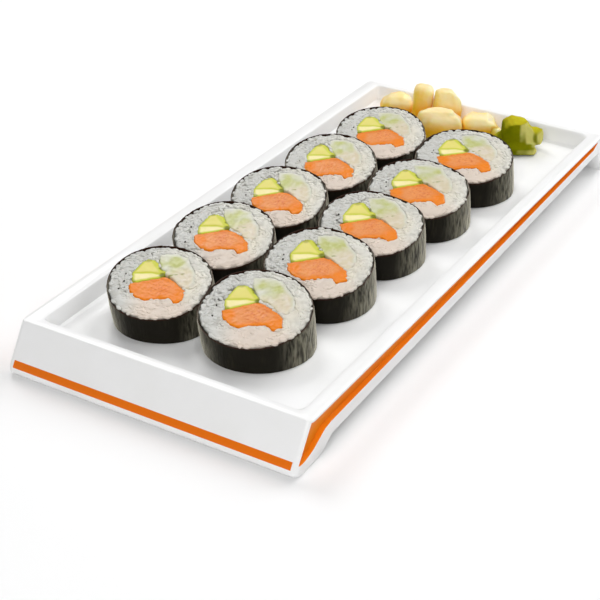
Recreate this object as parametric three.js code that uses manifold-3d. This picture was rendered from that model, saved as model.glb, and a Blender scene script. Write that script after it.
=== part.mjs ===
// A long white porcelain tray with ten cut maki rolls, a heap of pickled ginger and a lump of
// wasabi. Millimetres, +Z up, origin on the table under the middle of the tray, +Y along it.
import * as THREE from 'three';
import { mergeVertices } from 'three/addons/utils/BufferGeometryUtils.js';
import Module from 'manifold-3d';

const wasm = await Module();
wasm.setup();

// ---------------------------------------------------------------- driving dimensions
const RIM_LENGTH = 297.4;        // tray, along Y, between the two end creases
const TRAY_WIDTH = 136.4;
const TRAY_HEIGHT = 20.8;
const FLOOR_DEPTH = 7.8;         // floor below the rim; the food stands on it
const DECK_THICKNESS = 4.1;
const APRON_ANGLE = THREE.MathUtils.degToRad(57.5);   // end faces, up from the table
const FOOT_RADIUS = 3;           // rolled lower edge of each end
const CORNER_RADIUS = 2.6;       // tray corners seen from above
const EDGE_RADIUS = 0.9;         // softened rim and side edges

const ROLL_DIAMETERS = [44.2, 46.9];      // left and right column
const ROLL_HEIGHT = 16.9;        // mean; the cut faces slope
const NORI_THICKNESS = 0.6;
const FLOOR_HEIGHT = TRAY_HEIGHT - FLOOR_DEPTH;
const GAP = 0.3;                 // between pieces that touch
const PRESSED_GAP = 0.9;         // between neighbouring rolls, which flatten each other
const PRESS_BLEND = 1.8;         // softens the turn from the round wall to the flat

const ROWS = 5;
const FIRST_ROLL = [-31.6, -104.1];   // left column, front row
const ROW_PITCH = 44.75;
const ROW_DRIFT = 2.09;          // each row lies this much further to +X
const COLUMN_PITCH = 47.9;
const FACING = THREE.MathUtils.degToRad(16.5);   // the cut faces slope down towards this azimuth
const FRONT_SLOPES = [12.2, 10.8]; // degrees, front row: left and right column
const BACK_SLOPES = [11, 8.6];   // back row
// How far each roll sits off the even rows: left column, then right, from front to back.
const NUDGES = [
  [[2.5, -2.5], [0.5, 1.5], [-0.5, 1], [-0.5, 0.5], [2, -1.5]],
  [[-1, 0.5], [0, 2], [-0.5, 0.5], [0, -2.5], [1, -4]],
];
const PRESS_SHIFT = 0.8;         // a roll presses into the next one back by this much
const LIE = THREE.MathUtils.degToRad(30);      // azimuth along which all fillings lie

// ---------------------------------------------------------------- materials
const finish = (color, roughness) => new THREE.MeshStandardMaterial({ color, roughness, metalness: 0 });
const MATERIALS = {
  porcelain: finish(0xf4f4f2, 0.2),
  nori: finish(0x1c1d17, 0.55),
  rice: finish(0xe8e6dc, 0.5),
  salmon: finish(0xf08c46, 0.4),
  avocado: finish(0xdfe58a, 0.5),
  cucumber: finish(0xccd7a8, 0.4),
  ginger: finish(0xf6d77e, 0.45),
  wasabi: finish(0x8f9a18, 0.6),
};

// ---------------------------------------------------------------- shape helpers
function randomFrom(seed) {
  let state = seed >>> 0;
  return () => {
    state = (state + 0x6d2b79f5) >>> 0;
    let t = Math.imul(state ^ (state >>> 15), 1 | state);
    t = (t + Math.imul(t ^ (t >>> 7), 61 | t)) ^ t;
    return ((t ^ (t >>> 14)) >>> 0) / 4294967296;
  };
}

function toSolid(geometry) {
  geometry.deleteAttribute('normal');
  geometry.deleteAttribute('uv');
  const merged = mergeVertices(geometry, 1e-4);
  return new wasm.Manifold(new wasm.Mesh({
    numProp: 3,
    vertProperties: new Float32Array(merged.attributes.position.array),
    triVerts: new Uint32Array(merged.index.array),
  }));
}

function toGeometry(solid) {
  const largest = solid.decompose().sort((a, b) => b.volume() - a.volume())[0];
  const mesh = largest.getMesh();
  const geometry = new THREE.BufferGeometry();
  geometry.setAttribute('position', new THREE.BufferAttribute(mesh.vertProperties, 3));
  geometry.setIndex(new THREE.BufferAttribute(mesh.triVerts, 1));
  geometry.computeVertexNormals();
  return geometry;
}

// Skins a stack of rings, each counter-clockwise from above, from the lowest to the highest.
// An open stack gets fan caps; a looped stack joins its last ring to its first.
function loft(rings, { looped = false } = {}) {
  const count = rings[0].length;
  const points = rings.flat();
  const faces = [];
  const levels = looped ? rings.length : rings.length - 1;
  for (let level = 0; level < levels; level += 1) {
    const low = level * count;
    const high = ((level + 1) % rings.length) * count;
    for (let i = 0; i < count; i += 1) {
      const j = (i + 1) % count;
      faces.push(low + i, low + j, high + j, low + i, high + j, high + i);
    }
  }
  if (!looped) {
    const centre = (ring) => ring.reduce((sum, p) => sum.add(p), new THREE.Vector3()).divideScalar(count);
    const bottom = points.push(centre(rings[0])) - 1;
    const top = points.push(centre(rings.at(-1))) - 1;
    const last = (rings.length - 1) * count;
    for (let i = 0; i < count; i += 1) {
      const j = (i + 1) % count;
      faces.push(bottom, j, i, top, last + i, last + j);
    }
  }
  const geometry = new THREE.BufferGeometry().setFromPoints(points);
  geometry.setIndex(faces);
  return geometry;
}

// A rounded rectangle at one height, from its four sides.
function plate(z, halfX, frontY, backY, radius, segments = 5) {
  const ring = [];
  const corners = [[halfX, backY, 0], [-halfX, backY, 1], [-halfX, frontY, 2], [halfX, frontY, 3]];
  for (const [x, y, quarter] of corners) {
    const cx = x - Math.sign(x) * radius;
    const cy = y - Math.sign(y) * radius;
    for (let i = 0; i <= segments; i += 1) {
      const angle = (quarter + i / segments) * Math.PI / 2;
      ring.push(new THREE.Vector3(cx + radius * Math.cos(angle), cy + radius * Math.sin(angle), z));
    }
  }
  return ring;
}

// A shape drawn in the side view (Y, Z), made solid between two values of X.
function sideSlab(outline, fromX, toX) {
  const shape = new THREE.Shape(outline.map(([y, z]) => new THREE.Vector2(y, z)));
  const geometry = new THREE.ExtrudeGeometry(shape, { depth: toX - fromX, bevelEnabled: false });
  const turn = new THREE.Matrix4().makeBasis(
    new THREE.Vector3(0, 1, 0), new THREE.Vector3(0, 0, 1), new THREE.Vector3(1, 0, 0));
  turn.setPosition(fromX, 0, 0);
  return toSolid(geometry.applyMatrix4(turn));
}

// ---------------------------------------------------------------- the tray
function tray() {
  const halfX = TRAY_WIDTH / 2;
  const crease = RIM_LENGTH / 2;
  const tangentZ = FOOT_RADIUS * (1 + Math.cos(APRON_ANGLE));
  const endAt = (z) => crease + (TRAY_HEIGHT - z) / Math.tan(APRON_ANGLE);
  const footY = endAt(tangentZ) - FOOT_RADIUS * Math.sin(APRON_ANGLE);
  const level = (z, inset, end) => plate(z, halfX - inset, -end, end, CORNER_RADIUS);
  const rolled = [0, 40, 75].map((degrees) => {
    const angle = THREE.MathUtils.degToRad(degrees);
    const rise = FOOT_RADIUS * (1 - Math.cos(angle));
    return level(rise, EDGE_RADIUS * (1 - Math.sin(angle)), footY + FOOT_RADIUS * Math.sin(angle));
  });
  let body = toSolid(loft([
    ...rolled,
    level(tangentZ, 0, endAt(tangentZ)),
    level(TRAY_HEIGHT - EDGE_RADIUS, 0, endAt(TRAY_HEIGHT - EDGE_RADIUS)),
    level(TRAY_HEIGHT - EDGE_RADIUS * 0.3, EDGE_RADIUS * 0.3, endAt(TRAY_HEIGHT) + EDGE_RADIUS * 0.2),
    level(TRAY_HEIGHT, EDGE_RADIUS, endAt(TRAY_HEIGHT) - EDGE_RADIUS * 0.6),
  ]));

  // The tray bridges the table: its long sides rise from the front foot to the back.
  const below = (y, depth) => [y, TRAY_HEIGHT - depth];
  const FRONT_FOOT = 143;
  const BACK_FOOT = 151;
  const FRONT_SIDE = below(-133, 14.5);
  const BACK_SIDE = below(144, 7.8);
  body = body.subtract(sideSlab(
    [[-FRONT_FOOT, -1], [BACK_FOOT, -1], [BACK_FOOT, 0], BACK_SIDE, FRONT_SIDE, [-FRONT_FOOT, 0]],
    -halfX - 1, halfX + 1));

  // The deck carries on between the sides, and the underside is hollow between the feet.
  const deckBottom = FLOOR_HEIGHT - DECK_THICKNESS;
  body = body.add(toSolid(loft([
    plate(deckBottom, 57.5, -141, 144, 8, 3),
    plate(FLOOR_HEIGHT, 61, -144, 146, 8, 3),
  ])));
  body = body.subtract(toSolid(loft([
    plate(-1, 61.4, -151.5, 151.5, 5, 3),
    plate(deckBottom, 61.4, -144.5, 144.5, 5, 3),
  ])));

  // The sunk floor, its steep walls, and the rolled inner edge of the rim.
  body = body.subtract(toSolid(loft([
    plate(FLOOR_HEIGHT, 58, -140.6, 141.2, 2.6, 3),
    plate(FLOOR_HEIGHT + 0.9, 59.3, -141.9, 142.6, 2.6, 3),
    plate(TRAY_HEIGHT - 1.6, 60.4, -143.2, 144.2, 2.8, 3),
    plate(TRAY_HEIGHT - 0.4, 61.2, -144, 145, 3.2, 3),
    plate(TRAY_HEIGHT + 0.4, 63.2, -146, 147, 4, 3),
  ])));

  // The recessed band of each long side: it narrows to the back, turns down at the front bend
  // and runs out in a point above the foot.
  const GROOVE_DEPTH = 2.2;
  const LIP = 0.9;
  const along = (depth) => [1.1 - endAt(TRAY_HEIGHT - depth), TRAY_HEIGHT - depth];
  const band = [
    along(LIP), along(9), along(15.1), below(-153, 14.9), below(-147.3, 13.6), below(-142.5, 11.1),
    below(-138.5, 9.1), below(-134, 8.4), below(136, 3.5), below(141.5, 1.3), below(139.5, LIP),
  ];
  for (const side of [-1, 1]) {
    const wall = side * (halfX - GROOVE_DEPTH);
    const outer = side * (halfX + 2);
    body = body.subtract(sideSlab(band, Math.min(wall, outer), Math.max(wall, outer)));
  }
  return toGeometry(body);
}

// ---------------------------------------------------------------- one roll
// Outlines of the fillings on the cut face, in roll radii: across to the right and away from
// the side that the face slopes down to.
const FILLINGS = {
  salmon: [[-0.56, -0.04], [-0.54, -0.23], [-0.42, -0.41], [-0.24, -0.51], [-0.1, -0.46], [0.22, -0.46],
    [0.32, -0.6], [0.48, -0.52], [0.48, -0.28], [0.34, -0.1], [0.2, 0.04], [0.08, 0.1]],
  avocado: [[-0.51, -0.02], [0.06, 0.09], [0.1, 0.17], [0.08, 0.26], [0, 0.33], [-0.06, 0.49], [-0.14, 0.58],
    [-0.24, 0.61], [-0.33, 0.55], [-0.43, 0.38], [-0.52, 0.23]],
  cucumber: [[0.11, 0.2], [0.22, 0.13], [0.28, 0.05], [0.4, -0.12], [0.55, -0.22], [0.67, -0.08], [0.68, 0.2],
    [0.56, 0.44], [0.5, 0.64], [0.28, 0.76], [-0.02, 0.76], [-0.02, 0.55], [0.04, 0.36]],
};

// Moves every corner of an outline outwards by about the same distance.
function grow(outline, distance) {
  return outline.map((point, i) => {
    const before = outline.at(i - 1);
    const after = outline[(i + 1) % outline.length];
    const along = new THREE.Vector2().subVectors(after, before).normalize();
    return new THREE.Vector2(point.x + along.y * distance, point.y - along.x * distance);
  });
}

function rollCentre(row, column) {
  const [nudgeX, nudgeY] = NUDGES[column][row];
  return [FIRST_ROLL[0] + column * COLUMN_PITCH + row * ROW_DRIFT + nudgeX,
    FIRST_ROLL[1] + row * ROW_PITCH + nudgeY];
}

function roll(row, column) {
  const random = randomFrom(100 + row * 7 + column * 31);
  const vary = (amount) => (random() * 2 - 1) * amount;
  const [cx, cy] = rollCentre(row, column);
  const base = FLOOR_HEIGHT + GAP;
  const radius = ROLL_DIAMETERS[column] / 2 * (1 + vary(0.008));
  const mean = THREE.MathUtils.lerp(FRONT_SLOPES[column], BACK_SLOPES[column], row / (ROWS - 1));
  const slope = THREE.MathUtils.degToRad(mean + vary(0.3));
  const away = new THREE.Vector2(-Math.sin(FACING), Math.cos(FACING));
  const lumps = [2, 3, 4, 5].map((waves) => ({ waves, size: 0.009 / Math.sqrt(waves), phase: random() * 6.3 }));

  const neighbours = [[row + 1, column], [row - 1, column], [row, 1 - column]]
    .filter(([beside]) => beside >= 0 && beside < ROWS)
    .map(([besideRow, besideColumn]) => {
      const [x, y] = rollCentre(besideRow, besideColumn);
      return { x: x - cx, y: y - cy, shift: (besideRow - row) * PRESS_SHIFT };
    });
  const reach = (angle, bulge) => {
    const lumpy = lumps.reduce((sum, l) => sum + l.size * Math.sin(l.waves * angle + l.phase), 1);
    const free = radius * lumpy * bulge;
    const pressed = neighbours.map(({ x, y, shift }) => {
      const facingIt = Math.cos(angle - Math.atan2(y, x));
      return facingIt > 0.3 ? ((Math.hypot(x, y) - PRESSED_GAP) / 2 + shift) / facingIt : Infinity;
    });
    const softMin = (a, b) => {
      const share = Math.max(PRESS_BLEND - Math.abs(a - b), 0) / PRESS_BLEND;
      return Math.min(a, b) - share ** 2 * PRESS_BLEND / 4;
    };
    return pressed.reduce(softMin, free);
  };
  const topAt = (x, y) => FLOOR_HEIGHT + ROLL_HEIGHT + Math.tan(slope) * ((x - cx) * away.x + (y - cy) * away.y);
  // A ring round the roll; share 0 is the foot of the roll and share 1 its cut face.
  const ring = (inset, share, count, rise = 0, ratio = 1) => Array.from({ length: count }, (_, i) => {
    const angle = i / count * Math.PI * 2;
    const bulge = 1 - 0.01 * (1 - share) + 0.012 * Math.sin(Math.PI * share);
    const r = (reach(angle, bulge) - inset) * ratio;
    const lean = 1.8 * (1 - share);
    const x = cx + r * Math.cos(angle) + lean * Math.cos(LIE);
    const y = cy + r * Math.sin(angle) + lean * Math.sin(LIE);
    const top = topAt(x, y);
    return new THREE.Vector3(x, y, base + (top - base) * share + rise);
  });

  const SECTORS = 27;
  const nori = loft([
    ring(0, 0, SECTORS), ring(0, 0.5, SECTORS), ring(0, 1, SECTORS),
    ring(NORI_THICKNESS, 1, SECTORS), ring(NORI_THICKNESS, 0.5, SECTORS), ring(NORI_THICKNESS, 0, SECTORS),
  ], { looped: true });

  // Rice: a plug inside the nori, its cut face covered in bumps as large as grains.
  const SKIN = NORI_THICKNESS + GAP;
  const bumpy = (ratio, size) => {
    const points = ring(SKIN, 1, SECTORS, 0, ratio);
    points.forEach((p) => { p.z += 0.25 + vary(size); });
    return points;
  };
  let rice = toSolid(loft([
    ring(SKIN, 0, SECTORS, 0.05), ring(SKIN, 0.5, SECTORS), ring(SKIN, 0.97, SECTORS),
    bumpy(0.965, 0.2), bumpy(0.86, 0.45), bumpy(0.74, 0.45), bumpy(0.6, 0.45),
  ]));

  // The fillings keep this far inside the nori, so that rice closes round them.
  const core = (inset) => toSolid(loft([
    ring(inset, 0, SECTORS, -3), ring(inset, 0, SECTORS), ring(inset, 1, SECTORS), ring(inset, 1, SECTORS, 4),
  ]));
  const room = core(SKIN + 1.8);
  const hole = core(SKIN + 1.4);

  const pieces = {};
  let cutters = null;
  const turn = LIE + THREE.MathUtils.degToRad(vary(1.5));
  for (const [name, outline] of Object.entries(FILLINGS)) {
    const size = radius * (1 + vary(0.01));
    const shift = new THREE.Vector2(vary(0.2), vary(0.15));
    const points = outline.map(([u, v]) => new THREE.Vector2(u, v).multiplyScalar(size)
      .add(new THREE.Vector2(vary(0.3), vary(0.3))).add(shift)
      .rotateAround(new THREE.Vector2(), turn));
    const prism = (flat, low, high) => toSolid(loft([
      flat.map((p) => new THREE.Vector3(cx + p.x, cy + p.y, low)),
      flat.map((p) => new THREE.Vector3(cx + p.x, cy + p.y, topAt(cx + p.x, cy + p.y) + high)),
    ]));
    let piece = prism(points, base, 0.45 + vary(0.15)).intersect(room);
    if (cutters) piece = piece.subtract(cutters);
    pieces[name] = toGeometry(piece);
    const cutter = prism(grow(points, GAP * 1.2), base - 2, 3).intersect(hole);
    cutters = cutters ? cutters.add(cutter) : cutter;
  }
  rice = rice.subtract(cutters);
  return { nori, rice: toGeometry(rice), ...pieces };
}

// ---------------------------------------------------------------- ginger and wasabi
// A lump between a ball (square 2) and a box (a higher square), cut back by planes, each a
// direction and the share of the half-size that it leaves. It stands on the tray floor.
function lump({ at, size, square = 4, turn = 0, lean = 0, faces = [], bend = 0, steps = 4, seed }, swell = 0) {
  const random = randomFrom(seed);
  const block = new THREE.BoxGeometry(1, 1, 1, steps, steps, steps);
  block.deleteAttribute('normal');
  block.deleteAttribute('uv');
  const geometry = mergeVertices(block, 1e-4);
  const half = new THREE.Vector3(...size).multiplyScalar(0.5);
  const cuts = faces.map(([x, y, z, keep]) => ({ direction: new THREE.Vector3(x, y, z).normalize(), keep }));
  const position = geometry.attributes.position;
  const point = new THREE.Vector3();
  for (let i = 0; i < position.count; i += 1) {
    point.fromBufferAttribute(position, i).normalize();
    const powers = point.toArray().reduce((sum, value) => sum + Math.abs(value) ** square, 0);
    let reach = powers ** (-1 / square) * (1 + (random() * 2 - 1) * 0.03);
    for (const { direction, keep } of cuts) {
      const facing = point.dot(direction);
      if (facing > 0) reach = Math.min(reach, keep / facing);
    }
    point.multiplyScalar(reach).multiply(half);
    point.addScaledVector(point.clone().normalize(), swell);
    point.z += bend * (point.x / half.x) ** 2 * half.z;
    point.applyAxisAngle(new THREE.Vector3(1, 0, 0), THREE.MathUtils.degToRad(lean));
    point.applyAxisAngle(new THREE.Vector3(0, 0, 1), THREE.MathUtils.degToRad(turn));
    point.x += at[0];
    point.y += at[1];
    point.z = Math.max(point.z + at[2], FLOOR_HEIGHT + GAP - swell);
    position.setXYZ(i, point.x, point.y, point.z);
  }
  return toSolid(geometry);
}

// Wasabi: one tall block with broken faces, a knob on its right, and two low feet.
const WASABI = [
  { at: [30.5, 126.5, 21.5], size: [17, 14.5, 19.5], square: 6, turn: 30, steps: 4, seed: 61,
    faces: [[-0.35, -1, 0.05, 0.8], [0.5, -0.75, 0.3, 0.86], [-0.75, -0.3, 0.75, 0.92], [-0.2, -0.25, 1, 0.86],
      [0.8, 0.1, 0.75, 0.82], [0.2, 0.8, 0.7, 0.85], [1, -0.1, 0, 0.88]] },
  { at: [38.3, 131, 20], size: [9, 8, 9], square: 4, turn: 20, steps: 3, seed: 62,
    faces: [[0.8, -0.5, 0.5, 0.8], [0.2, -0.3, 1, 0.8]] },
  { at: [23.8, 122.6, 17], size: [9, 9, 9], square: 4, turn: 40, steps: 3, seed: 63,
    faces: [[-0.6, -0.3, 0.8, 0.75], [0.2, -1, 0.4, 0.85]] },
  { at: [34.5, 122, 15.6], size: [17, 10, 7.5], square: 4, turn: 30, steps: 3, seed: 64,
    faces: [[0.1, -0.6, 0.9, 0.8], [1, 0, 0.5, 0.85]] },
];
// Ginger: soft blocks heaped on one another.
const GINGER = [
  { at: [-11, 120.5, 18.7], size: [24.5, 13, 16], turn: 27, lean: -8, bend: -0.22, seed: 41,
    faces: [[0, -0.8, 0.7, 0.95], [1, 0, 0.7, 0.95]] },
  { at: [-27.3, 133.5, 22.2], size: [9.6, 9.5, 19.6], square: 6, turn: 22, lean: 4, seed: 42 },
  { at: [-13.5, 134.5, 21.8], size: [13.5, 11, 20], turn: 40, lean: -6, bend: 0.1, seed: 43,
    faces: [[0.8, 0, 0.75, 0.9], [-0.2, -1, 0.3, 0.85]] },
  { at: [5.8, 133.5, 17.6], size: [18.5, 11.5, 10.5], turn: 30, lean: 5, bend: -0.2, seed: 44,
    faces: [[0.9, 0, 0.7, 0.9], [0, -0.7, 0.8, 0.95]] },
  { at: [-43.5, 134.5, 17.7], size: [17, 12, 10.5], turn: 24, bend: -0.2, seed: 45,
    faces: [[-1, 0, 0.8, 0.9], [0, -0.7, 0.8, 0.95]] },
  { at: [14.8, 134, 15.5], size: [6, 5.5, 5], turn: -10, steps: 2, seed: 46 },
];

// ---------------------------------------------------------------- assembly
const sushi = new THREE.Group();
sushi.name = 'maki_platter';

function place(name, geometry, material) {
  const mesh = new THREE.Mesh(geometry, material);
  mesh.name = name;
  sushi.add(mesh);
}

place('tray', tray(), MATERIALS.porcelain);

for (let column = 0; column < 2; column += 1) {
  for (let row = 0; row < ROWS; row += 1) {
    const number = String(column * ROWS + row + 1).padStart(2, '0');
    for (const [layer, geometry] of Object.entries(roll(row, column))) {
      place(`roll_${number}_${layer}`, geometry, MATERIALS[layer]);
    }
  }
}

const heap = (lumps, swell) => lumps.map((item) => lump(item, swell)).reduce((whole, item) => whole.add(item));
let taken = heap(WASABI, GAP);
place('wasabi', toGeometry(heap(WASABI, 0)), MATERIALS.wasabi);
GINGER.forEach((piece, i) => {
  place(`ginger_${i + 1}`, toGeometry(lump(piece).subtract(taken)), MATERIALS.ginger);
  taken = taken.add(lump(piece, GAP));
});

export default sushi;
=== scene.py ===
"""A long white porcelain tray of ten cut maki rolls, with pickled ginger and wasabi.

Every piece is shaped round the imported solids, in metres, with +Z up and the tray along +Y.
"""

import math
import random

import bmesh
import bpy
import numpy as np
from mathutils import Matrix, Vector, noise
from mathutils.bvhtree import BVHTree


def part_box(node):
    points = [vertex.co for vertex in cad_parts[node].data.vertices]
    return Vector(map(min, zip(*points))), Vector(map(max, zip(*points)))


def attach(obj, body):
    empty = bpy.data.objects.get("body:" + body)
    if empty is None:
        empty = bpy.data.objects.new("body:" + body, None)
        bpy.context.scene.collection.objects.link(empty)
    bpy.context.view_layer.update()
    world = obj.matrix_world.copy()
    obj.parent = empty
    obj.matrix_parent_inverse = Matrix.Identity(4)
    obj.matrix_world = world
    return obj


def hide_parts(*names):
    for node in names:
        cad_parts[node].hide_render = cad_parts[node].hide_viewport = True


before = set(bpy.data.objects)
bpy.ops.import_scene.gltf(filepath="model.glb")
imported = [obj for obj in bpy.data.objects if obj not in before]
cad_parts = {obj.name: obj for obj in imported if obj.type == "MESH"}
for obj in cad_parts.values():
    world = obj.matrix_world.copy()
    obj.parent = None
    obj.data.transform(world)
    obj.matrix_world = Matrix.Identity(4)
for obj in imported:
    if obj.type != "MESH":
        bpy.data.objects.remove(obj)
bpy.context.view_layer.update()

# ---------------------------------------------------------------- the studio
# A white floor, with wide soft lamps behind, behind on the left and in front, two faint ones
# overhead and on the right, and a camera low over the front right corner of the tray.
MM = 0.001
scene = bpy.context.scene

AIM = Vector((27.71, -88.99, 29.92)) * MM
CAMERA_AZIMUTH = math.radians(30.0)
CAMERA_ELEVATION = math.radians(30.76)
CAMERA_ROLL = math.radians(1.02)
CAMERA_DISTANCE = 611.1 * MM
CAMERA_LENS = 90.79

back = Vector((
    math.sin(CAMERA_AZIMUTH) * math.cos(CAMERA_ELEVATION),
    -math.cos(CAMERA_AZIMUTH) * math.cos(CAMERA_ELEVATION),
    math.sin(CAMERA_ELEVATION),
))
camera = bpy.data.objects.new("camera", bpy.data.cameras.new("camera"))
camera.data.lens = CAMERA_LENS
camera.data.sensor_width = 36
camera.location = AIM + back * CAMERA_DISTANCE
turned = back.to_track_quat("Z", "Y").to_matrix() @ Matrix.Rotation(CAMERA_ROLL, 3, "Z")
camera.rotation_mode = "QUATERNION"
camera.rotation_quaternion = turned.to_quaternion()
scene.collection.objects.link(camera)
scene.camera = camera

scene.view_settings.view_transform = "Standard"
WORLD_LIGHT = 0.02


def add(tree, kind, sockets=None, **settings):
    """Adds a node; each of its named sockets takes a value or another node's output."""
    made = tree.nodes.new(kind)
    for name, value in settings.items():
        setattr(made, name, value)
    for name, value in (sockets or {}).items():
        if isinstance(value, bpy.types.NodeSocket):
            tree.links.new(value, made.inputs[name])
        else:
            made.inputs[name].default_value = value
    return made


def paint(red, green, blue):
    """A display colour from 0 to 255 as the linear colour that a socket takes."""
    shares = (value / 255 for value in (red, green, blue))
    linear = [s / 12.92 if s <= 0.04045 else ((s + 0.055) / 1.055) ** 2.4 for s in shares]
    return (*linear, 1.0)


def mix(tree, mask, low, high):
    """The colour low where the mask is 0 and high where it is 1."""
    made = add(tree, "ShaderNodeMix", {0: mask, 6: low, 7: high}, data_type="RGBA")
    return made.outputs[2]


def between(tree, value, low, high):
    """A smooth mask that is 0 below low and 1 above high."""
    made = add(tree, "ShaderNodeMapRange", {"Value": value, "From Min": low, "From Max": high},
               interpolation_type="SMOOTHSTEP")
    return made.outputs["Result"]


def maths(tree, operation, first, second=0.0):
    """The result of a sum on two values or sockets."""
    return add(tree, "ShaderNodeMath", {0: first, 1: second}, operation=operation).outputs[0]


def surface(name, **sockets):
    """A material with its Principled shader; returns the material, its tree and the shader."""
    made = bpy.data.materials.new(name)
    made.use_nodes = True
    shader = made.node_tree.nodes["Principled BSDF"]
    for socket, value in sockets.items():
        shader.inputs[socket.replace("_", " ")].default_value = value
    return made, made.node_tree, shader


def lamp(name, place, size, power):
    """A soft square lamp, aimed at the middle of the tray."""
    light = bpy.data.objects.new(name, bpy.data.lights.new(name, "AREA"))
    light.data.size = size
    light.data.energy = power
    light.location = place
    light.rotation_mode = "QUATERNION"
    light.rotation_quaternion = Vector(place).to_track_quat("Z", "Y")
    scene.collection.objects.link(light)


lamp("back_lamp", (0.25, 0.9, 0.9), 0.9, 9.6)
lamp("left_lamp", (-0.8, 0.6, 1.0), 0.6, 8.0)
lamp("front_lamp", (0.4, -1.1, 0.7), 0.7, 9.6)
lamp("overhead_lamp", (0.0, 0.0, 1.2), 0.3, 2.0)
lamp("right_lamp", (0.9, 0.4, 1.0), 0.7, 2.6)

sky = bpy.data.worlds.new("white_room")
sky.use_nodes = True
sky.node_tree.nodes["Background"].inputs["Color"].default_value = (1.0, 1.0, 1.0, 1.0)
sky.node_tree.nodes["Background"].inputs["Strength"].default_value = WORLD_LIGHT
scene.world = sky

bm = bmesh.new()
bmesh.ops.create_grid(bm, x_segments=1, y_segments=1, size=4.0)
floor_mesh = bpy.data.meshes.new("floor")
bm.to_mesh(floor_mesh)
bm.free()
floor_paint, tree, shader = surface("floor_white", Roughness=0.9)
shader.inputs["Specular IOR Level"].default_value = 0.0
fog = add(tree, "ShaderNodeTexNoise", {"Scale": 3.0})
pale = mix(tree, fog.outputs[0], (0.94, 0.94, 0.94, 1), (0.95, 0.95, 0.95, 1))
tree.links.new(pale, shader.inputs["Base Color"])
floor_mesh.materials.append(floor_paint)
floor = bpy.data.objects.new("floor", floor_mesh)
scene.collection.objects.link(floor)

# ---------------------------------------------------------------- the tray
# White glazed porcelain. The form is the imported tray's, with every hard edge rounded as glaze
# rounds it. An orange stripe is fired on the front apron, and the recessed band of each long
# side is orange too.
GLAZE_EDGE = 0.7 * MM
GLAZE_STEPS = 4
HARD_EDGE = math.radians(26)
BAND_FLOOR = 66.0 * MM           # |x| of the bottom of the side recess
STRIPE_LOW = 4.1 * MM
STRIPE_HIGH = 7.0 * MM
STRIPE_END = 65.4 * MM
STRIPE_SOFT = 0.06 * MM          # half the width of its blurred edge
APRON_START = -150 * MM          # y where the front apron begins
ORANGE = paint(232, 113, 12)


def mottle_group():
    """A cloudy pattern on Object coordinates that every material shares."""
    tree = bpy.data.node_groups.new("Mottle", "ShaderNodeTree")
    sockets = (("Scale", "NodeSocketFloat", 300.0), ("Stretch", "NodeSocketVector", (1, 1, 1)),
               ("Low", "NodeSocketFloat", 0.35), ("High", "NodeSocketFloat", 0.65))
    for name, kind, value in sockets:
        tree.interface.new_socket(name, in_out="INPUT", socket_type=kind).default_value = value
    tree.interface.new_socket("Mask", in_out="OUTPUT", socket_type="NodeSocketFloat")
    tree.interface.new_socket("Height", in_out="OUTPUT", socket_type="NodeSocketFloat")
    given = add(tree, "NodeGroupInput")
    where = add(tree, "ShaderNodeTexCoord")
    scaled = add(tree, "ShaderNodeVectorMath", {0: where.outputs["Object"], 1: given.outputs["Stretch"]},
                 operation="MULTIPLY")
    cloud = add(tree, "ShaderNodeTexNoise",
                {"Vector": scaled.outputs[0], "Scale": given.outputs["Scale"], "Detail": 4.0})
    mask = add(tree, "ShaderNodeMapRange", {"Value": cloud.outputs[0], "From Min": given.outputs["Low"],
                                            "From Max": given.outputs["High"]},
               interpolation_type="SMOOTHSTEP")
    add(tree, "NodeGroupOutput", {"Mask": mask.outputs[0], "Height": cloud.outputs[0]})
    return tree


MOTTLE = mottle_group()


def mottle(tree, scale, stretch=(1, 1, 1), low=0.35, high=0.65):
    """Places the shared pattern; scale is in clouds per metre."""
    sockets = {"Scale": scale, "Stretch": stretch, "Low": low, "High": high}
    made = add(tree, "ShaderNodeGroup", node_tree=MOTTLE)
    for name, value in sockets.items():
        made.inputs[name].default_value = value
    return made.outputs["Mask"], made.outputs["Height"]


def relief(tree, shader, height, depth):
    """Raises the surface by a height pattern, in metres."""
    bump = add(tree, "ShaderNodeBump", {"Height": height, "Distance": depth, "Strength": 1.0})
    tree.links.new(bump.outputs[0], shader.inputs["Normal"])


def merged_copy(node):
    """A CAD node's shape with its loose triangles joined."""
    bm = bmesh.new()
    bm.from_mesh(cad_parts[node].data)
    bmesh.ops.remove_doubles(bm, verts=bm.verts, dist=2e-6)
    return bm


def piece(bm, name, finishes, node, hard=180):
    """Makes the finished piece that stands for a CAD node."""
    mesh = bpy.data.meshes.new(name)
    bm.to_mesh(mesh)
    bm.free()
    for made in finishes:
        mesh.materials.append(made)
    mesh.shade_smooth()
    mesh.set_sharp_from_angle(angle=math.radians(hard))
    made = bpy.data.objects.new(name, mesh)
    scene.collection.objects.link(made)
    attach(made, "root")
    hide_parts(node)
    return made


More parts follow.
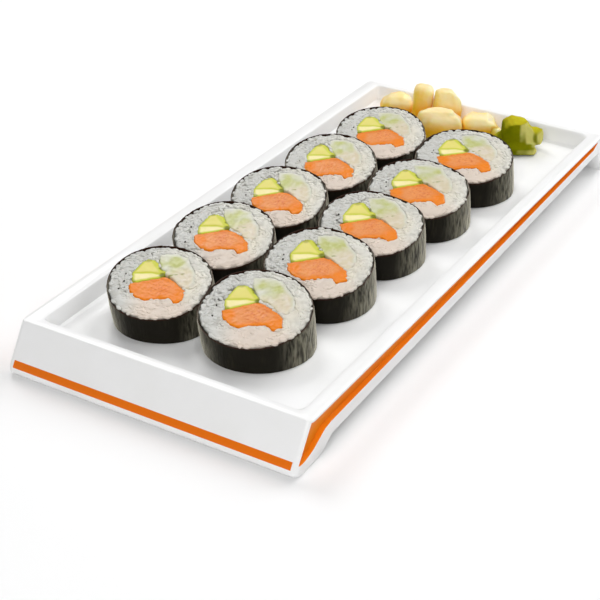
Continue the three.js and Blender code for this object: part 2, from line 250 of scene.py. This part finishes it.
def glaze(name, stripe):
    """Glazed porcelain, white with the front stripe or orange all over."""
    made, tree, shader = surface(name, Roughness=0.3, Specular_IOR_Level=0.15, Coat_Weight=0.1,
                                 Coat_Roughness=0.07)
    cloudy, _ = mottle(tree, 40, low=0.3, high=0.7)
    _, ripple = mottle(tree, 160)
    if stripe:
        body = mix(tree, cloudy, paint(242, 242, 241), paint(245, 245, 245))
        place = add(tree, "ShaderNodeSeparateXYZ",
                    {0: add(tree, "ShaderNodeTexCoord").outputs["Object"]})
        x, y, z = place.outputs
        above = between(tree, z, STRIPE_LOW - STRIPE_SOFT, STRIPE_LOW + STRIPE_SOFT)
        below = between(tree, z, STRIPE_HIGH + STRIPE_SOFT, STRIPE_HIGH - STRIPE_SOFT)
        mask = maths(tree, "MULTIPLY", above, below)
        across = maths(tree, "ABSOLUTE", x)
        inside = between(tree, across, STRIPE_END + STRIPE_SOFT, STRIPE_END - STRIPE_SOFT)
        front = between(tree, y, APRON_START, APRON_START - 1 * MM)
        mask = maths(tree, "MULTIPLY", mask, maths(tree, "MULTIPLY", inside, front))
        colour = mix(tree, mask, body, ORANGE)
        coat = maths(tree, "MULTIPLY", between(tree, mask, 1, 0), 0.25)
        tree.links.new(coat, shader.inputs["Coat Weight"])
    else:
        colour = mix(tree, cloudy, paint(240, 134, 22), paint(244, 142, 28))
    tree.links.new(colour, shader.inputs["Base Color"])
    relief(tree, shader, ripple, 0.05 * MM)
    return made


bm = merged_copy("tray")
bmesh.ops.dissolve_limit(bm, angle_limit=math.radians(1), use_dissolve_boundaries=False,
                         verts=bm.verts, edges=bm.edges)
band = [f for f in bm.faces if all(abs(abs(v.co.x) - BAND_FLOOR) < 0.02 * MM for v in f.verts)]
for face in band:
    for edge in face.edges:
        for wall in edge.link_faces:
            wall.material_index = 1
hard_edges = [e for e in bm.edges if e.calc_face_angle() > HARD_EDGE]
bmesh.ops.bevel(bm, geom=hard_edges, offset=GLAZE_EDGE, segments=GLAZE_STEPS, profile=0.5,
                affect="EDGES", material=-1, clamp_overlap=True)
piece(bm, "glazed_tray", [glaze("porcelain_white", True), glaze("porcelain_orange", False)],
      "tray", hard=35)

# ---------------------------------------------------------------- the nori
# One toasted sheet of seaweed wrapped round each roll: thin, nearly black, smooth in front and
# wrinkled on the flanks, where a light grey-olive sheen is painted in streaks, with a ragged upper
# edge and a lap where the sheet ends.
ROLLS = [f"roll_{number:02d}" for number in range(1, 11)]
SIDES = 225                      # steps round a roll
ROLL_WAVES = 6                   # finest waviness of a wall that is kept
SHEET_ROWS = (0, 24, 26, 34, 35)     # outside up, over the edge, inside down, closed
SHEET_SHARE = (0, 1, 1, 0, 0)        # 0 at the foot of the roll, 1 at the cut face
SHEET = 0.3 * MM
WRINKLE = 0.34 * MM
LAP = 0.3 * MM                   # how far the free end of the sheet stands out
LAP_WIDTH = 0.7                  # radians over which it runs out
RAGGED = 0.25 * MM               # unevenness of the upper edge
LIE = math.radians(30)           # azimuth along which the fillings of every roll lie
LOW_SIDE = math.radians(-60)     # azimuth of the side where rice hangs over the sheet


def smooth_loop(points, count):
    """A smooth closed curve of count points through evenly spaced ones."""
    known = np.fft.fft(np.array(points), axis=0)
    half = (len(points) + 1) // 2
    full = np.zeros((count, 3), complex)
    kept = min(half, ROLL_WAVES + 1)
    full[:kept] = known[:kept]
    full[1 - kept:] = known[1 - kept:]
    return np.fft.ifft(full, axis=0).real * count / len(points)


class Roll:
    """The measures of one packed roll: its wall, its cut face and its own directions."""

    def __init__(self, name):
        self.name = name
        self.seed = int(name[-2:])
        bm = merged_copy(f"{name}_nori")
        points = np.array([v.co for v in bm.verts])
        bm.free()
        spread = points[:, :2] - points[:, :2].mean(axis=0)
        turns = np.arctan2(spread[:, 1], spread[:, 0])
        order = np.argsort(turns)
        gaps = np.diff(np.append(turns[order], turns[order][0] + 2 * math.pi))
        columns = np.roll(order, -1 - gaps.argmax()).reshape(-1, 6)
        columns = [column[np.argsort(points[column, 2])] for column in columns]
        reach = np.linalg.norm(spread, axis=1)
        rings = [[max(column[low:low + 2], key=lambda i: reach[i]) for column in columns]
                 for low in (0, 2, 4)]
        self.loops = [smooth_loop(points[ring], SIDES) for ring in rings]
        top = points[rings[2]]
        self.centre = Vector(top.mean(axis=0))
        matrix = np.c_[top[:, 0] - self.centre.x, top[:, 1] - self.centre.y, np.ones(len(top))]
        slope_x, slope_y, height = np.linalg.lstsq(matrix, top[:, 2], rcond=None)[0]
        self.slope = Vector((slope_x, slope_y))
        self.height = height
        self.radius = float(np.linalg.norm(top[:, :2] - top.mean(axis=0)[:2], axis=1).mean())
        self.away = Vector((-math.sin(LIE), math.cos(LIE)))
        self.right = Vector((math.cos(LIE), math.sin(LIE)))

    def face(self, x, y):
        """Height of the cut face over a point."""
        return self.height + self.slope.x * (x - self.centre.x) + self.slope.y * (y - self.centre.y)

    def wall(self, share):
        """The loop of the wall at a share of its height."""
        low, middle, high = self.loops
        return (low * (1 - share) * (1 - 2 * share) + middle * 4 * share * (1 - share)
                + high * share * (2 * share - 1))

    def local(self, point):
        """A point in roll radii: across to the right, away from the low side, and the depth."""
        flat = Vector((point.x - self.centre.x, point.y - self.centre.y))
        return Vector((flat.dot(self.right), flat.dot(self.away), 0)) / self.radius


def fade(value, low, high):
    """Rises smoothly from 0 at low to 1 at high."""
    share = min(1.0, max(0.0, (value - low) / (high - low)))
    return share * share * (3 - 2 * share)


def hangs_over(turn):
    """1 on the low side of a roll, where rice hangs over the edge of the sheet, else 0."""
    return fade(math.cos(turn - LOW_SIDE), 0.1, 0.75)


def seaweed(roll):
    """Wraps a flat sheet round the roll, wrinkles it, and marks its edge and its painted-sheen flanks."""
    bm = bmesh.new()
    rows = SHEET_ROWS[-1]
    bmesh.ops.create_grid(bm, x_segments=SIDES, y_segments=rows, size=1)
    marks = bm.verts.layers.float_vector.new("marks")
    loops = {}
    draw = random.Random(roll.seed)
    lap_at = math.radians(draw.uniform(110, 190))
    for vert in bm.verts:
        column = round((vert.co.x + 1) / 2 * SIDES) % SIDES
        row = round((vert.co.y + 1) / 2 * rows)
        share = float(np.interp(row, SHEET_ROWS, SHEET_SHARE))
        inside = SHEET_ROWS[1] < row < SHEET_ROWS[-1]
        if share not in loops:
            loops[share] = roll.wall(share)
        point = Vector(loops[share][column])
        turn = math.atan2(point.y - roll.centre.y, point.x - roll.centre.x)
        outward = Vector((math.cos(turn), math.sin(turn), 0))
        around = turn * roll.radius
        side = math.sin(turn - LOW_SIDE)
        flank = max(fade(side, 0.35, 0.9), 0.6 * fade(-side, 0.5, 0.95))
        patchy = noise.noise(Vector((around * 90, point.z * 50, roll.seed * 5))) + 0.45
        worn = 0.12 + flank * max(0.1, patchy)
        streak = noise.noise(Vector((around * 420 - point.z * 230, point.z * 90, roll.seed * 7)))
        crease = noise.noise(Vector((around * 1100 - point.z * 480, point.z * 160, roll.seed * 3)))
        push = WRINKLE * worn * (streak + 0.6 * crease)
        lapped = (turn - lap_at) % (2 * math.pi)
        push += LAP * max(0.0, 1 - lapped / LAP_WIDTH)
        if inside:
            push -= SHEET
        point += outward * push
        ragged = noise.noise(Vector((around * 500, roll.seed, 0))) + 0.7 * noise.noise(
            Vector((around * 1500, roll.seed, 5)))
        low = (0.1 + 0.5 * hangs_over(turn)) * MM
        point.z += share ** 6 * (ragged * RAGGED - low)
        vert[marks] = Vector((fade(share, 0.93, 0.99), flank, 0))
        vert.co = point
    bmesh.ops.remove_doubles(bm, verts=bm.verts, dist=1e-6)
    bmesh.ops.recalc_face_normals(bm, faces=bm.faces)
    return bm


def marked(tree, name="marks"):
    """The three masks that a piece carries in an attribute of its own."""
    spot = add(tree, "ShaderNodeAttribute", attribute_name=name)
    return add(tree, "ShaderNodeSeparateXYZ", {0: spot.outputs["Vector"]}).outputs


nori, tree, shader = surface("toasted_nori", Roughness=0.5, Sheen_Weight=0.9, Sheen_Roughness=0.32,
                             Specular_IOR_Level=0.1)
shader.inputs["Sheen Tint"].default_value = (0.85, 0.81, 0.66, 1)
fibre, fine = mottle(tree, 900, (1, 1, 0.2), 0.4, 0.74)
patch, _ = mottle(tree, 90, (1, 1, 0.6), 0.45, 0.7)
rim, flank, _ = marked(tree)
colour = mix(tree, maths(tree, "MULTIPLY", fibre, patch), paint(18, 15, 7), paint(38, 35, 22))
# Painted sheen: the flanks of each roll are painted light grey-olive in streaks, standing for light caught
# on the wrinkled sheet.
streak, _ = mottle(tree, 650, (1, 1, 0.2), 0.34, 0.74)
olive = maths(tree, "MULTIPLY", maths(tree, "MAXIMUM", fibre, streak), flank)
colour = mix(tree, maths(tree, "MULTIPLY", olive, 0.9), colour, paint(144, 140, 121))
colour = mix(tree, rim, colour, paint(52, 26, 12))
tree.links.new(colour, shader.inputs["Base Color"])
dull = add(tree, "ShaderNodeMapRange", {"Value": fine, "To Min": 0.38, "To Max": 0.6})
tree.links.new(dull.outputs[0], shader.inputs["Roughness"])
relief(tree, shader, fine, 0.2 * MM)

rolls = [Roll(name) for name in ROLLS]
for roll in rolls:
    piece(seaweed(roll), f"{roll.name}_seaweed_wrap", [nori], f"{roll.name}_nori", hard=60)

# ---------------------------------------------------------------- the rice
# Short sticky grains pressed together inside the nori and cut through: a core in the packed
# rice's shape, with grains sunk in its cut face and cut off flush, and a few flecks of nori.
CORE_NET = 0.62 * MM
CORE_SINK = 0.15 * MM
GAP_SINK = 0.3 * MM              # deeper between the grains, where no knife smeared them
CORE_SWELL = 0.3 * MM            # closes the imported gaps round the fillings
GRAIN = (3.3 * MM, 1.6 * MM, 1.5 * MM)
GRAIN_GAP = 1.3 * MM
GRAIN_TRIES = 2600
GRAIN_TURNS = 8                  # directions that are tried for a grain before it is shortened
GRAIN_DEPTHS = (0.15, 0.55)      # mm from the cut face down to the middle of a grain
SMEAR_DEPTH = 0.15               # mm more where the knife smeared the rice
WALL_BAND = 2.7 * MM             # grains this close to the sheet lie along it
RIM_BAND = 1.9 * MM              # grains this close to it may hang over its edge
CUT_LIFT = 0.1 * MM              # grains are cut off about this far over the cut face
OVERHANG = 0.5 * MM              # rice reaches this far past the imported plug, over the sheet
FLECKS = ((-0.643, 0.21), (-0.674, 0.065), (-0.743, -0.217))     # across and away, in radii
FLECK_SIZE = 0.5 * MM


def even_net(bm, size):
    """The same closed shape as an even net of small faces, ready to be carved."""
    mesh = bpy.data.meshes.new("net")
    bm.to_mesh(mesh)
    bm.free()
    held = bpy.data.objects.new("net", mesh)
    scene.collection.objects.link(held)
    net = held.modifiers.new("net", "REMESH")
    net.mode = "VOXEL"
    net.voxel_size = size
    view = bpy.context.evaluated_depsgraph_get()
    fine = held.evaluated_get(view).to_mesh()
    bm = bmesh.new()
    bm.from_mesh(fine)
    bpy.data.objects.remove(held)
    bpy.data.meshes.remove(mesh)
    return bm


def on_rice(tree, roll, x, y):
    """True where the cut face shows rice at this point."""
    top = roll.face(x, y)
    hit = tree.ray_cast(Vector((x, y, top + 3 * MM)), Vector((0, 0, -1)), 5 * MM)
    return hit[0] is not None and hit[0].z > top - 0.9 * MM


def near_top(point, top, depth, rise):
    """0 deeper than a depth under the cut face, rising to 1 over the next stretch above that."""
    return min(1.0, max(0.0, (point.z - (top - depth)) / rise))


def smooth_front(local):
    """1 where the knife has smeared the rice flat, on the low side of the cut face, else 0."""
    return fade(-local.y - 0.25 * local.x, 0.2, 0.6)


def grain(bm, roll, place, axis, size):
    """One grain: a plump bean, a little bent, cut flat where it stands over the cut face."""
    side = Vector((0, 0, 1)).cross(axis).normalized()
    up = axis.cross(side)
    made = bmesh.ops.create_icosphere(bm, subdivisions=2, radius=0.5)["verts"]
    length, width, thickness = size
    for vert in made:
        along, across, high = vert.co
        bend = 0.12 * (along * 2) ** 2 * width
        blunt = 1 - 0.18 * (along * 2) ** 4
        point = place + axis * (along * length) + side * (across * width * blunt + bend)
        point += up * (high * thickness * blunt)
        over = point.z - (roll.face(point.x, point.y) + CUT_LIFT)
        if over > 0:
            point.z -= over * 0.85
        vert.co = point


def rice_body(roll):
    """The core, its grains and its flecks; marks painted shade on the left, warm tints, and the painted
    shade of deep gaps.
    """
    cad = merged_copy(f"{roll.name}_rice")
    tree = BVHTree.FromBMesh(cad)
    bm = even_net(cad, CORE_NET)
    bm.normal_update()
    for vert in bm.verts:
        top = roll.face(vert.co.x, vert.co.y)
        near = near_top(vert.co, top, 1.4 * MM, 1.2 * MM)
        if near > 0:
            local = roll.local(vert.co)
            smooth = 0.7 * max(smooth_front(local), fade(local.x, 0.3, 0.7))
            lumpy = noise.noise(vert.co * 620) * (0.4 - 0.3 * smooth) * MM
            vert.co += Vector((vert.normal.x, vert.normal.y, 0)) * near * CORE_SWELL
            vert.co.z += near * (lumpy - CORE_SINK - GAP_SINK * (1 - smooth))
    draw = random.Random(500 + roll.seed)
    outside = roll.wall(1)[:, :2]
    placed = []
    for _ in range(GRAIN_TRIES):
        turn = draw.uniform(0, 2 * math.pi)
        reach = roll.radius * 1.1 * math.sqrt(draw.uniform(0, 1))
        x = roll.centre.x + reach * math.cos(turn)
        y = roll.centre.y + reach * math.sin(turn)
        if any((x - px) ** 2 + (y - py) ** 2 < GRAIN_GAP ** 2 for px, py in placed):
            continue
        if not on_rice(tree, roll, x, y):
            continue
        edge = np.linalg.norm(outside - (x, y), axis=1).min()
        length, width, thickness = (value * draw.uniform(0.88, 1.1) for value in GRAIN)
        for _ in range(GRAIN_TURNS):
            if edge < WALL_BAND:
                lie = turn + math.pi / 2 + draw.uniform(-0.35, 0.35)
            else:
                lie = draw.uniform(0, math.pi)
            reach_x, reach_y = math.cos(lie) * length * 0.36, math.sin(lie) * length * 0.36
            ends = ((x + reach_x, y + reach_y), (x - reach_x, y - reach_y))
            if all(on_rice(tree, roll, *end) for end in ends):
                break
        else:
            length *= 0.6
        placed.append((x, y))
        tilt = draw.uniform(-0.25, 0.25)
        axis = Vector((math.cos(lie) * math.cos(tilt), math.sin(lie) * math.cos(tilt), math.sin(tilt)))
        smeared = smooth_front(roll.local(Vector((x, y, 0))))
        depth = (draw.uniform(*GRAIN_DEPTHS) + SMEAR_DEPTH * smeared) * MM
        place = Vector((x, y, roll.face(x, y) - depth))
        if edge < RIM_BAND:
            outward = Vector((math.cos(turn), math.sin(turn), 0))
            place += outward * OVERHANG * hangs_over(turn)
        grain(bm, roll, place, axis, (length, width, thickness))
    marks = bm.verts.layers.float_vector.new("marks")
    sunk = bm.verts.layers.float.new("sunk")
    for vert in bm.verts:
        local = roll.local(vert.co)
        # Painted shade: the left and back of the cut face are painted greyer.
        leftish = fade(0.35 * local.y - local.x, -0.25, 0.75)
        front = smooth_front(local) * fade(1 - abs(local.x - 0.1), 0.2, 0.7)
        beside = fade(local.x, 0.3, 0.6) * fade(0.5 - local.y, 0, 0.5) * fade(0.95 - local.length, 0, 0.3)
        vert[marks] = Vector((leftish, front, beside))
        # Painted shade: rice lying under the cut face, in the gaps between grains, is painted dark.
        depth = fade(roll.face(vert.co.x, vert.co.y) - vert.co.z, 0.15 * MM, 0.8 * MM)
        vert[sunk] = depth * (1 - 0.7 * front) * (1 - 0.5 * fade(local.x, 0.3, 0.7))
    for across, away in FLECKS:
        flat = roll.centre.xy + (roll.right * (across + draw.uniform(-0.02, 0.02))
                                 + roll.away * (away + draw.uniform(-0.04, 0.04))) * roll.radius
        place = Vector((*flat, roll.face(*flat) + 0.14 * MM))
        made = bmesh.ops.create_icosphere(bm, subdivisions=2, radius=FLECK_SIZE)["verts"]
        size = draw.uniform(0.8, 1.3)
        for vert in made:
            ragged = 1 + 0.6 * noise.noise(vert.co * 1500 + Vector((across, away, roll.seed)) * 9)
            flat = roll.right * vert.co.x * 0.7 + roll.away * vert.co.y * 1.4
            vert.co = place + Vector((*flat, vert.co.z * 0.3)) * ragged * size
        for face in {face for vert in made for face in vert.link_faces}:
            face.material_index = 1
    return bm


rice, tree, shader = surface("sticky_rice", Roughness=0.4, Subsurface_Weight=0.6,
                             Subsurface_Scale=1.2 * MM, Specular_IOR_Level=0.22)
shader.subsurface_method = "BURLEY"
shader.inputs["Subsurface Radius"].default_value = (1.0, 0.95, 0.9)
cloudy, _ = mottle(tree, 420, low=0.42, high=0.64)
_, fine = mottle(tree, 1800)
leftish, front, beside = marked(tree)
# Painted shade: the left of the cut face is painted greyer.
colour = mix(tree, leftish, paint(211, 209, 200), paint(196, 196, 192))
colour = mix(tree, maths(tree, "MULTIPLY", cloudy, 0.5), colour, paint(176, 174, 166))
colour = mix(tree, maths(tree, "MULTIPLY", front, 0.85), colour, paint(213, 197, 183))
colour = mix(tree, maths(tree, "MULTIPLY", beside, 0.6), colour, paint(218, 210, 190))
# Painted shade: the gaps between grains are painted dark.
sunk = add(tree, "ShaderNodeAttribute", attribute_name="sunk").outputs["Fac"]
colour = mix(tree, sunk, colour, paint(98, 96, 88))
tree.links.new(colour, shader.inputs["Base Color"])
relief(tree, shader, fine, 0.05 * MM)

for roll in rolls:
    piece(rice_body(roll), f"{roll.name}_rice_grains", [rice, nori], f"{roll.name}_rice")

# ---------------------------------------------------------------- the fillings
# A bar of raw salmon, two slices of avocado and a stick of cucumber with its pale seedy side
# run through each roll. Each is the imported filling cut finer, with its own grain on the cut.
FILLING_NET = 0.42 * MM
FILLING_SWELL = 0.36 * MM        # the fillings press together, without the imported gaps
YELLOWER_ROLL = 1                # its salmon is the yellowest


def filling(roll, layer, carve, paint_marks):
    """Copies a packed filling, swells it, carves its cut face and marks its colours."""
    cad = merged_copy(f"{roll.name}_{layer}")
    walls = cad.copy()
    bmesh.ops.delete(walls, geom=[f for f in walls.faces if abs(f.normal.z) > 0.5], context="FACES")
    sides = BVHTree.FromBMesh(walls)
    walls.free()
    bm = even_net(cad, FILLING_NET)
    bm.normal_update()
    marks = bm.verts.layers.float_vector.new("marks")
    for vert in bm.verts:
        local = roll.local(vert.co)
        edge = sides.find_nearest(vert.co)[3] / MM
        top = roll.face(vert.co.x, vert.co.y)
        near = near_top(vert.co, top, 1.0 * MM, 0.8 * MM)
        vert[marks] = Vector(paint_marks(local, edge, roll.seed))
        outward = Vector((vert.normal.x, vert.normal.y, 0))
        vert.co.z += near * carve(local, edge, vert.co, roll.seed) * MM
        vert.co += outward * FILLING_SWELL + vert.normal * noise.noise(vert.co * 500) * 0.08 * MM
    return bm


def spot(local, across, away, reach):
    """1 at a place on the cut face, fading to 0 at a distance from it, in roll radii."""
    return fade(1 - math.hypot(local.x - across, local.y - away) / reach, 0, 0.6)


def cloud(local, scale, seed):
    """A soft random pattern over the cut face, about -0.5 to 0.5."""
    return noise.noise(Vector((local.x * scale, local.y * scale, seed * 3.7)))


def salmon_cut(local, edge, point, seed):
    """Flakes of muscle that cross the bar, and rounded borders."""
    flakes = abs(noise.noise(Vector((local.x * 3 + local.y * 5, local.y * 2, seed)) * 1.5))
    return 0.25 * flakes - 0.35 + 0.15 * noise.noise(point * 900)


def salmon_marks(local, edge, seed):
    """Deep orange along the border, low down and at the tips, pale inside, and red flecks."""
    wobble = cloud(local, 7, seed) * 0.12
    low = fade(2.6 - edge, 0, 2.2) * fade(-local.y + wobble, 0.1, 0.4)
    tips = max(spot(local, -0.48, -0.18, 0.2), spot(local, 0.4, -0.5, 0.3))
    border = 0.6 * fade(1.6 - edge, 0, 1.3)
    overall = 0.6 if seed == YELLOWER_ROLL else 0
    deep = max(low, tips, border, overall)
    pale = fade(edge, 0.8, 3) * spot(local, -0.08 + wobble, -0.2, 0.6)
    flecks = spot(local, 0.02, -0.18, 0.3) * fade(cloud(local, 34, seed + 9), 0.12, 0.3)
    return deep, pale, flecks


def avocado_joint(local, seed):
    """Distance above the line where the upper wedge meets the lower slab, in roll radii."""
    line = 0.23 - 0.05 * fade(local.x, -0.2, 0.03) + 0.008 * math.sin(seed)
    return local.y - line


def avocado_cut(local, edge, point, seed):
    """A shallow groove parts the upper wedge from the lower slab."""
    groove = math.exp(-(avocado_joint(local, seed) / 0.018) ** 2)
    return 0.12 * noise.noise(point * 300) - 0.3 - 0.22 * groove


def avocado_marks(local, edge, seed):
    """The lower slab, the lime rim of both slices, and dark green spots and a darker green stretch of the
    border.
    """
    joint = avocado_joint(local, seed)
    slab = fade(-joint, -0.01, 0.02)
    rim = max(fade(edge, 1.3, 0.2) * 0.9, math.exp(-(joint / 0.03) ** 2) * 0.8)
    strip = abs((local.x + 0.154) * 0.88 + (local.y - 0.56) * 0.48)
    rim = max(rim, fade(0.06 - strip, 0, 0.04) * 0.7)
    bruise = fade(0.8 - edge, 0, 0.5) * fade(local.x, -0.16, -0.04) * fade(local.y, 0.16, 0.26)
    dark = max(
        spot(local, 0.05, 0.16, 0.09),
        spot(local, -0.5, 0.0, 0.08) * 0.6,
        spot(local, -0.25, 0.6, 0.1) * 0.5,
        bruise * fade(cloud(local, 8, seed + 6), -0.2, 0.1),
    )
    return slab, rim, dark


def cucumber_cut(local, edge, point, seed):
    """A moist, slightly uneven cut."""
    return 0.15 * noise.noise(point * 700) - 0.35


def cucumber_marks(local, edge, seed):
    """The pale seedy core, the green flesh, and a thin broken line of skin between them."""
    wobble = cloud(local, 6, seed) * 0.1
    core = fade(local.x * 0.45 - local.y + 0.16 + wobble, -0.14, 0.2)
    core = max(core, fade(local.x + wobble, 0.5, 0.66) * fade(0.42 - local.y, 0, 0.2))
    green = spot(local, 0.2 + wobble, 0.3, 0.62) * (0.8 + cloud(local, 5, seed + 2))
    line = fade(0.03 - abs(local.y - 0.12 - local.x * 0.12), 0, 0.03)
    line *= fade(0.32 - abs(local.x - 0.24), 0, 0.2)
    line *= fade(cloud(local, 14, seed + 4), 0.02, 0.25)
    bank = fade(2.2 - edge, 0, 2) * fade(local.x + 0.8 * local.y, 0.3, 0.7)
    return core * (1 - bank), green * (1 - bank), line


def filling_surface(name, **sockets):
    """A moist filling, with its three colour masks."""
    made, tree, shader = surface(name, Subsurface_Scale=2 * MM, Specular_IOR_Level=0.2, **sockets)
    return made, tree, shader, marked(tree)


salmon, tree, shader, (deep, pale, flecks) = filling_surface(
    "raw_salmon", Roughness=0.32, Subsurface_Weight=0.3, Subsurface_Radius=(1.0, 0.5, 0.3))
veil, _ = mottle(tree, 140, low=0.42, high=0.62)
grainy, fine = mottle(tree, 1500, low=0.5, high=0.7)
colour = mix(tree, veil, paint(219, 123, 38), paint(226, 137, 56))
colour = mix(tree, maths(tree, "MULTIPLY", pale, 0.65), colour, paint(231, 154, 92))
colour = mix(tree, maths(tree, "MULTIPLY", grainy, 0.25), colour, paint(206, 96, 40))
colour = mix(tree, deep, colour, paint(232, 128, 8))
colour = mix(tree, maths(tree, "MULTIPLY", flecks, 0.5), colour, paint(196, 72, 24))
tree.links.new(colour, shader.inputs["Base Color"])
relief(tree, shader, fine, 0.1 * MM)

avocado, tree, shader, (slab, rim, dark) = filling_surface(
    "ripe_avocado", Roughness=0.42, Subsurface_Weight=0.2, Subsurface_Radius=(1.0, 0.9, 0.4))
patch, fine = mottle(tree, 260, low=0.4, high=0.65)
colour = mix(tree, slab, paint(221, 211, 116), paint(240, 228, 172))
colour = mix(tree, maths(tree, "MULTIPLY", patch, 0.3), colour, paint(222, 218, 116))
colour = mix(tree, rim, colour, paint(190, 198, 24))
colour = mix(tree, dark, colour, paint(110, 116, 6))
tree.links.new(colour, shader.inputs["Base Color"])
relief(tree, shader, fine, 0.08 * MM)

cucumber, tree, shader, (core, green, line) = filling_surface(
    "fresh_cucumber", Roughness=0.3, Subsurface_Weight=0.35, Subsurface_Radius=(0.8, 1.0, 0.6))
patch, fine = mottle(tree, 380, low=0.4, high=0.65)
colour = mix(tree, patch, paint(206, 206, 190), paint(211, 210, 199))
colour = mix(tree, green, colour, mix(tree, patch, paint(184, 188, 118), paint(192, 195, 138)))
colour = mix(tree, core, colour, mix(tree, patch, paint(208, 196, 168), paint(215, 205, 186)))
colour = mix(tree, maths(tree, "MULTIPLY", line, 0.8), colour, paint(120, 132, 20))
tree.links.new(colour, shader.inputs["Base Color"])
relief(tree, shader, fine, 0.1 * MM)

LAYERS = (("salmon", "salmon_bar", salmon, salmon_cut, salmon_marks),
          ("avocado", "avocado_slices", avocado, avocado_cut, avocado_marks),
          ("cucumber", "cucumber_stick", cucumber, cucumber_cut, cucumber_marks))
for roll in rolls:
    for layer, title, made, carve, paint_marks in LAYERS:
        piece(filling(roll, layer, carve, paint_marks), f"{roll.name}_{title}", [made],
              f"{roll.name}_{layer}")

# ---------------------------------------------------------------- the pickled ginger
# A small heap of thick, soft slices of pickled ginger, wet and translucent: painted pale cream on
# top and on the right as light falls there, and painted a shaded deep yellow low down and where
# they touch.
GINGER_NET = 0.55 * MM
GINGER_SWELL = 0.4 * MM          # the slices lean on one another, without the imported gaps
GINGER_LUMPS = 0.8 * MM
TRAY_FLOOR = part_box("ginger_1")[0][2]

ginger, tree, shader = surface("pickled_ginger", Roughness=0.35, Subsurface_Weight=1.0,
                               Subsurface_Scale=5 * MM, Specular_IOR_Level=0.3)
shader.inputs["Subsurface Radius"].default_value = (1.0, 0.8, 0.35)
cloudy, _ = mottle(tree, 90, low=0.35, high=0.7)
fibre, fine = mottle(tree, 500, (0.3, 1, 1), 0.4, 0.7)
# Painted light: faces turned up are painted pale cream, and faces turned to the right paler still.
up = add(tree, "ShaderNodeSeparateXYZ", {0: add(tree, "ShaderNodeNewGeometry").outputs["Normal"]})
lit = between(tree, up.outputs["Z"], -0.2, 1.1)
colour = mix(tree, lit, paint(255, 216, 92), paint(255, 222, 172))
colour = mix(tree, maths(tree, "MULTIPLY", cloudy, 0.3), colour, paint(254, 222, 120))
facing_right = between(tree, up.outputs["X"], 0.0, 0.7)
colour = mix(tree, maths(tree, "MULTIPLY", facing_right, 0.5), colour, paint(255, 246, 222))
# Painted shade: deep yellow low on each slice and where slices touch.
deep = add(tree, "ShaderNodeAttribute", attribute_name="deep").outputs["Fac"]
colour = mix(tree, deep, colour, paint(255, 188, 2))
tree.links.new(colour, shader.inputs["Base Color"])
relief(tree, shader, fine, 0.08 * MM)


def soften(bm, times):
    """Rounds every edge a little, a number of times."""
    for _ in range(times):
        bmesh.ops.smooth_vert(bm, verts=bm.verts, factor=0.5,
                              use_axis_x=True, use_axis_y=True, use_axis_z=True)


slices = [f"ginger_{number}" for number in range(1, 7)]
trees = {}
for node in slices:
    cad = merged_copy(node)
    trees[node] = BVHTree.FromBMesh(cad)
    cad.free()
for number, node in enumerate(slices, 1):
    bm = even_net(merged_copy(node), GINGER_NET)
    soften(bm, 1)
    bm.normal_update()
    low, high = (corner[2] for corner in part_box(node))
    deep = bm.verts.layers.float.new("deep")
    for vert in bm.verts:
        # Painted shade: marks the lower part of a slice and where it nears another, to be painted deep
        # yellow.
        beside = min(trees[other].find_nearest(vert.co)[3] for other in slices if other != node)
        sunk = fade(0.75 - (vert.co.z - low) / (high - low), 0, 0.5)
        vert[deep] = max(0.8 * fade(2.4 * MM - beside, 0, 2 * MM), sunk)
        soft = noise.noise(vert.co * 150 + Vector((0, 0, number))) * GINGER_LUMPS
        stringy = noise.noise(Vector((vert.co.x * 200, vert.co.y * 700, vert.co.z * 700))) * 0.12 * MM
        vert.co += vert.normal * (soft + stringy + GINGER_SWELL)
        vert.co.z = max(vert.co.z, TRAY_FLOOR)
    piece(bm, f"ginger_slice_{number}", [ginger], node)

# ---------------------------------------------------------------- the wasabi
# A lump of wasabi paste torn off and set down: saturated olive green, painted lighter on its right
# and on top as light falls there, with broken facets and a gritty skin.
WASABI_NET = 0.45 * MM
LEFT_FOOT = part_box("wasabi")[0][0] + 4 * MM     # x where its low left foot ends
FACETS = 5                       # rounds of averaging that find the large facets

wasabi, tree, shader = surface("wasabi_paste", Roughness=0.65, Subsurface_Weight=0.1,
                               Subsurface_Scale=1 * MM, Specular_IOR_Level=0.02)
cloudy, _ = mottle(tree, 120, low=0.35, high=0.65)
_, fine = mottle(tree, 1300)
# Painted light: facets facing right, and facets facing up high on the lump or on its left foot, are painted
# lighter; the darker green stands for the shaded facets.
right, up, _ = marked(tree)
colour = mix(tree, cloudy, paint(112, 116, 0), paint(128, 130, 2))
colour = mix(tree, right, colour, paint(208, 202, 112))
colour = mix(tree, up, colour, paint(190, 180, 34))
tree.links.new(colour, shader.inputs["Base Color"])
relief(tree, shader, fine, 0.2 * MM)

bm = even_net(merged_copy("wasabi"), WASABI_NET)
soften(bm, 1)
bm.normal_update()
marks = bm.verts.layers.float_vector.new("marks")
faced = {vert: vert.normal.copy() for vert in bm.verts}
for _ in range(FACETS):
    faced = {vert: sum((faced[edge.other_vert(vert)] for edge in vert.link_edges), faced[vert]).normalized()
             for vert in bm.verts}
soften(bm, 7)
for vert in bm.verts:
    torn = abs(noise.noise(vert.co * 130)) * 0.6
    grit = noise.noise(vert.co * 700) * 0.14
    # Painted light: marks the facets facing right and facing up, to be painted lighter.
    high = max(fade(vert.co.z - TRAY_FLOOR, 7 * MM, 12 * MM), fade(LEFT_FOOT - vert.co.x, 0, 3 * MM))
    vert[marks] = Vector((fade(faced[vert].x, 0.35, 0.8), fade(faced[vert].z, 0.35, 0.75) * high, 0))
    vert.co += vert.normal * (grit - torn) * MM
piece(bm, "wasabi_lump", [wasabi], "wasabi")
